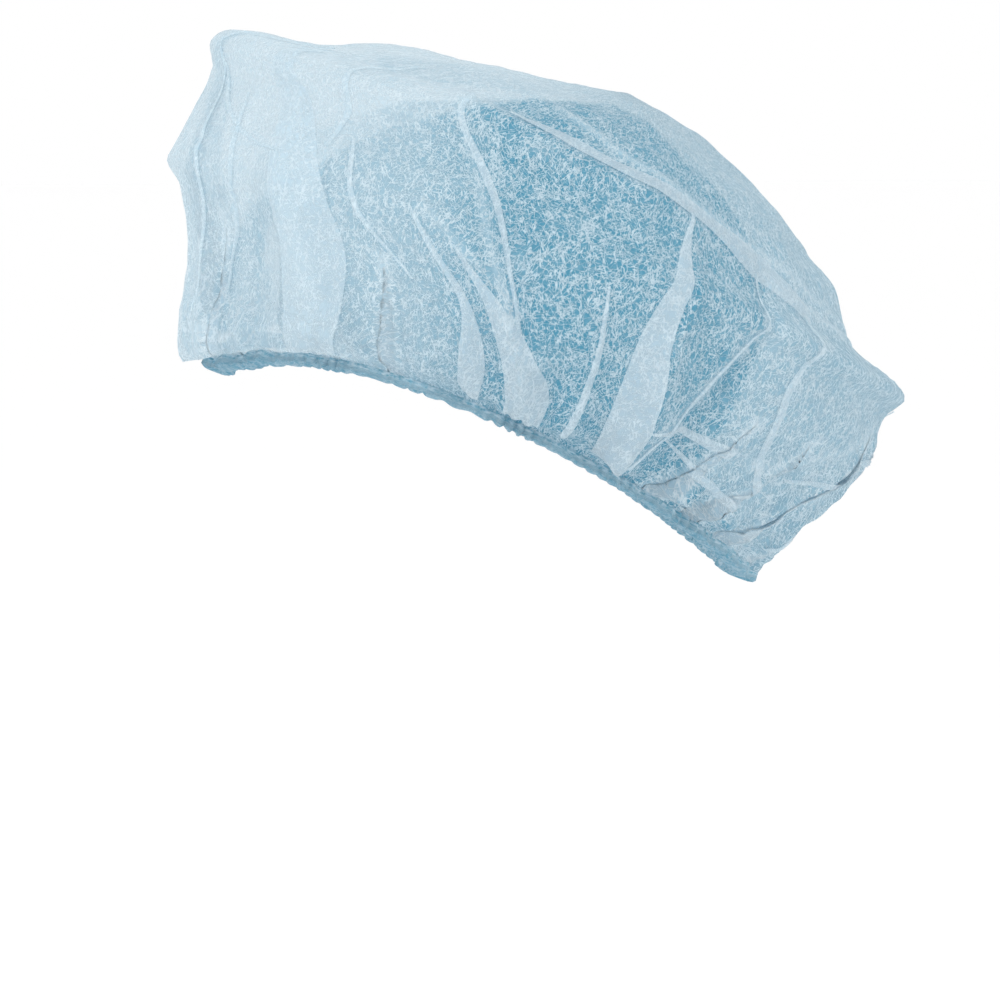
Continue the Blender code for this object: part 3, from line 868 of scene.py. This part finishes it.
class Nodes:
    """Small helpers that add nodes to one material and link them."""

    def __init__(self, name):
        self.material = bpy.data.materials.new(name)
        self.material.use_nodes = True
        self.tree = self.material.node_tree
        self.tree.nodes.clear()

    def add(self, kind, **settings):
        node = self.tree.nodes.new(kind)
        for key, value in settings.items():
            setattr(node, key, value)
        return node

    def put(self, socket, value):
        if isinstance(value, bpy.types.NodeSocket):
            self.tree.links.new(value, socket)
        else:
            socket.default_value = value

    def math(self, operation, first, second=0.0, clamp=False):
        node = self.add("ShaderNodeMath", operation=operation, use_clamp=clamp)
        self.put(node.inputs[0], first)
        self.put(node.inputs[1], second)
        return node.outputs[0]

    def ramp(self, value, low, high):
        node = self.add("ShaderNodeMapRange", interpolation_type="SMOOTHSTEP")
        self.put(node.inputs["Value"], value)
        node.inputs["From Min"].default_value = low
        node.inputs["From Max"].default_value = high
        return node.outputs["Result"]

    def mix(self, share, first, second):
        node = self.add("ShaderNodeMix", data_type="RGBA")
        self.put(node.inputs["Factor"], share)
        self.put(node.inputs["A"], first)
        self.put(node.inputs["B"], second)
        return node.outputs["Result"]

    def attribute(self, name):
        return self.add("ShaderNodeAttribute", attribute_name=name).outputs["Fac"]

    def flat_place(self, turn, stretch):
        """The place in the flat cloth, turned and stretched along one direction."""
        place = self.add("ShaderNodeUVMap", uv_map="cloth").outputs["UV"]
        turned = self.add("ShaderNodeMapping")
        self.put(turned.inputs["Vector"], place)
        turned.inputs["Rotation"].default_value = (0, 0, math.radians(turn))
        drawn = self.add("ShaderNodeMapping")
        self.put(drawn.inputs["Vector"], turned.outputs["Vector"])
        drawn.inputs["Scale"].default_value = (1, stretch, 1)
        return drawn.outputs["Vector"]

    def noise(self, place, scale, detail=2.0):
        node = self.add("ShaderNodeTexNoise")
        self.put(node.inputs["Vector"], place)
        node.inputs["Scale"].default_value = scale
        node.inputs["Detail"].default_value = detail
        return node.outputs["Fac"]

    def fibre_lines(self, turn, stretch, scale, thickness):
        """Thin winding lines where a stretched noise crosses its middle value."""
        value = self.noise(self.flat_place(turn, stretch), scale, detail=3.0)
        away = self.math("ABSOLUTE", self.math("SUBTRACT", value, 0.5))
        return self.math("SUBTRACT", 1.0, self.ramp(away, low=0.0, high=thickness))

    def fibres(self):
        """The cloth's random fibres: several sets of thin lines, each lying its own way."""
        total = 0.0
        for turn, stretch, scale, thickness in FIBRE_SETS:
            total = self.math("MAXIMUM", total, self.fibre_lines(turn, stretch, scale, thickness))
        return total

    def finish(self, shader):
        output = self.add("ShaderNodeOutputMaterial")
        self.tree.links.new(shader, output.inputs["Surface"])
        return self.material


def cloth_shader(nodes, colour, opacity, bump, through):
    """Thin cloth: part lit from the front, part from behind, and part seen through."""
    shader = nodes.add("ShaderNodeBsdfPrincipled")
    nodes.put(shader.inputs["Base Color"], colour)
    shader.inputs["Roughness"].default_value = CLOTH_ROUGHNESS
    shader.inputs["Sheen Weight"].default_value = CLOTH_SHEEN
    shader.inputs["Sheen Roughness"].default_value = CLOTH_SHEEN_ROUGHNESS
    shader.inputs["Specular IOR Level"].default_value = CLOTH_SPECULAR
    nodes.put(shader.inputs["Normal"], bump)
    behind = nodes.add("ShaderNodeBsdfTranslucent")
    nodes.put(behind.inputs["Color"], colour)
    nodes.put(behind.inputs["Normal"], bump)
    lit = nodes.add("ShaderNodeMixShader")
    lit.inputs["Fac"].default_value = through
    nodes.tree.links.new(shader.outputs[0], lit.inputs[1])
    nodes.tree.links.new(behind.outputs[0], lit.inputs[2])
    clear = nodes.add("ShaderNodeBsdfTransparent")
    mixed = nodes.add("ShaderNodeMixShader")
    nodes.put(mixed.inputs["Fac"], opacity)
    nodes.tree.links.new(clear.outputs[0], mixed.inputs[1])
    nodes.tree.links.new(lit.outputs[0], mixed.inputs[2])
    return mixed.outputs[0]


def bump_of(nodes, height, distance):
    bump = nodes.add("ShaderNodeBump")
    bump.inputs["Distance"].default_value = distance
    bump.inputs["Strength"].default_value = BUMP_STRENGTH
    nodes.put(bump.inputs["Height"], height)
    return bump.outputs["Normal"]


def crown_material():
    nodes = Nodes("nonwoven_cloth")
    fibres = nodes.fibres()
    clouds = nodes.noise(nodes.flat_place(turn=0, stretch=1.0), scale=70, detail=3.0)
    grain = nodes.noise(nodes.flat_place(turn=25, stretch=0.6), scale=900)
    flank_shade = nodes.attribute("flank_shade")
    pleat = nodes.attribute("pleat")
    # Painted shade: the shaded hollow seen through the cloth, painted deep teal and mottled by the
    # clouds
    shade_share = nodes.math("MULTIPLY", flank_shade, nodes.ramp(clouds, low=-0.30, high=0.55))
    colour = nodes.mix(shade_share, linear(PALE_BLUE), linear(DEEP_TEAL))
    speckled = nodes.math("MULTIPLY", nodes.ramp(grain, low=0.40, high=0.75), SPECKLE_SHARE)
    colour = nodes.mix(speckled, colour, linear(MIDDLE_BLUE))
    colour = nodes.mix(nodes.math("MULTIPLY", pleat, PLEAT_SHARE), colour, linear(PALE_BLUE))
    colour = nodes.mix(nodes.math("MULTIPLY", fibres, FIBRE_SHARE), colour, linear(FIBRE_LIGHT))
    opacity = nodes.math("MULTIPLY_ADD", fibres, FIBRE_OPACITY)
    opacity.node.inputs[2].default_value = CROWN_OPACITY
    opacity = nodes.math("ADD", opacity, nodes.math("MULTIPLY", pleat, PLEAT_OPACITY))
    # The painted shade also makes the cloth more opaque
    opacity = nodes.math("ADD", opacity, nodes.math("MULTIPLY", flank_shade, SHADE_OPACITY))
    cloudy = nodes.math("MULTIPLY", clouds, CLOUD_OPACITY)
    opacity = nodes.math("ADD", opacity, cloudy, clamp=True)
    bump = bump_of(nodes, nodes.math("ADD", fibres, grain), distance=0.00025)
    return nodes.finish(cloth_shader(nodes, colour, opacity, bump, CROWN_THROUGH))


def hem_material():
    nodes = Nodes("gathered_nonwoven")
    fibres = nodes.fibres()
    grain = nodes.noise(nodes.flat_place(turn=0, stretch=3.0), scale=420)
    edge = nodes.attribute("edge")
    grained = nodes.ramp(grain, low=0.35, high=0.70)
    colour = nodes.mix(grained, linear(HEM_TEAL), linear(PALE_BLUE))
    colour = nodes.mix(nodes.math("MULTIPLY", edge, HEM_EDGE_SHARE), colour, linear(DEEP_TEAL))
    light = nodes.math("MULTIPLY", fibres, HEM_FIBRE_SHARE)
    colour = nodes.mix(light, colour, linear(FIBRE_LIGHT))
    opacity = nodes.math("MULTIPLY_ADD", grain, HEM_GRAIN_OPACITY)
    opacity.node.inputs[2].default_value = HEM_OPACITY
    bump = bump_of(nodes, grain, distance=0.0005)
    return nodes.finish(cloth_shader(nodes, colour, opacity, bump, HEM_THROUGH))


def elastic_material():
    nodes = Nodes("knitted_elastic")
    grain = nodes.noise(nodes.flat_place(turn=0, stretch=0.3), scale=1600)
    colour = nodes.mix(grain, linear(MIDDLE_BLUE), linear(ELASTIC_PALE))
    shader = nodes.add("ShaderNodeBsdfPrincipled")
    nodes.put(shader.inputs["Base Color"], colour)
    shader.inputs["Roughness"].default_value = ELASTIC_ROUGHNESS
    nodes.put(shader.inputs["Normal"], bump_of(nodes, grain, distance=0.0002))
    return nodes.finish(shader.outputs[0])


def plain_material(name, colour):
    nodes = Nodes(name)
    shader = nodes.add("ShaderNodeBsdfPrincipled")
    shader.inputs["Base Color"].default_value = linear(colour)
    shader.inputs["Roughness"].default_value = FLOOR_ROUGHNESS
    return nodes.finish(shader.outputs[0])


def make_camera():
    right, up, forward = camera_axes()
    camera = bpy.data.objects.new("camera", bpy.data.cameras.new("camera"))
    camera.data.sensor_width = SENSOR_WIDTH
    camera.data.lens = SENSOR_WIDTH * CAMERA_DISTANCE / SEEN_WIDTH
    aim = right * AIM_RIGHT + up * AIM_UP
    camera.location = aim - forward * CAMERA_DISTANCE
    camera.rotation_euler = forward.to_track_quat("-Z", "Y").to_euler()
    bpy.context.scene.collection.objects.link(camera)
    bpy.context.scene.camera = camera


def make_light(name, place, size, power):
    light = bpy.data.objects.new(name, bpy.data.lights.new(name, "AREA"))
    light.data.size = size
    light.data.energy = power
    light.location = place
    light.rotation_euler = (-Vector(place)).to_track_quat("-Z", "Y").to_euler()
    bpy.context.scene.collection.objects.link(light)


def make_stage():
    """A plain pale floor, well below the held-up hairnet, and soft white light all round."""
    bpy.ops.mesh.primitive_plane_add(size=FLOOR_SIZE, location=(0, 0, FLOOR_HEIGHT))
    floor = bpy.context.object
    floor.name = "floor"
    floor.data.materials.append(plain_material("pale_floor", BACKDROP_WHITE))
    world = bpy.data.worlds.new("studio")
    world.use_nodes = True
    background = world.node_tree.nodes["Background"]
    background.inputs["Color"].default_value = (1, 1, 1, 1)
    background.inputs["Strength"].default_value = 1.0
    bpy.context.scene.world = world
    bpy.context.scene.view_settings.view_transform = "Standard"
    make_light("key", place=(1.1, -1.3, 1.3), size=0.9, power=14)
    make_light("fill", place=(1.6, 1.0, 0.6), size=1.2, power=5)


def place(piece, material, node, slot):
    piece.data.materials.append(material)
    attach(piece, "root")
    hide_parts(node)


make_camera()
make_stage()
cloth_heights, cloth_lengths = row_heights()
crown = make_crown(cloth_heights, cloth_lengths)
hem = make_hem()
elastic = make_elastic()
bpy.ops.object.select_all(action="DESELECT")
for layer_name, stations in LAYERS.items():
    layer = make_layer(layer_name, stations, cloth_heights, cloth_lengths)
    layer.select_set(True)
crown.select_set(True)
bpy.context.view_layer.objects.active = crown
bpy.ops.object.join()
place(crown, crown_material(), "crown", "crown_cloth")
place(hem, hem_material(), "hem", "hem_cloth")
place(elastic, elastic_material(), "elastic", "elastic_band")
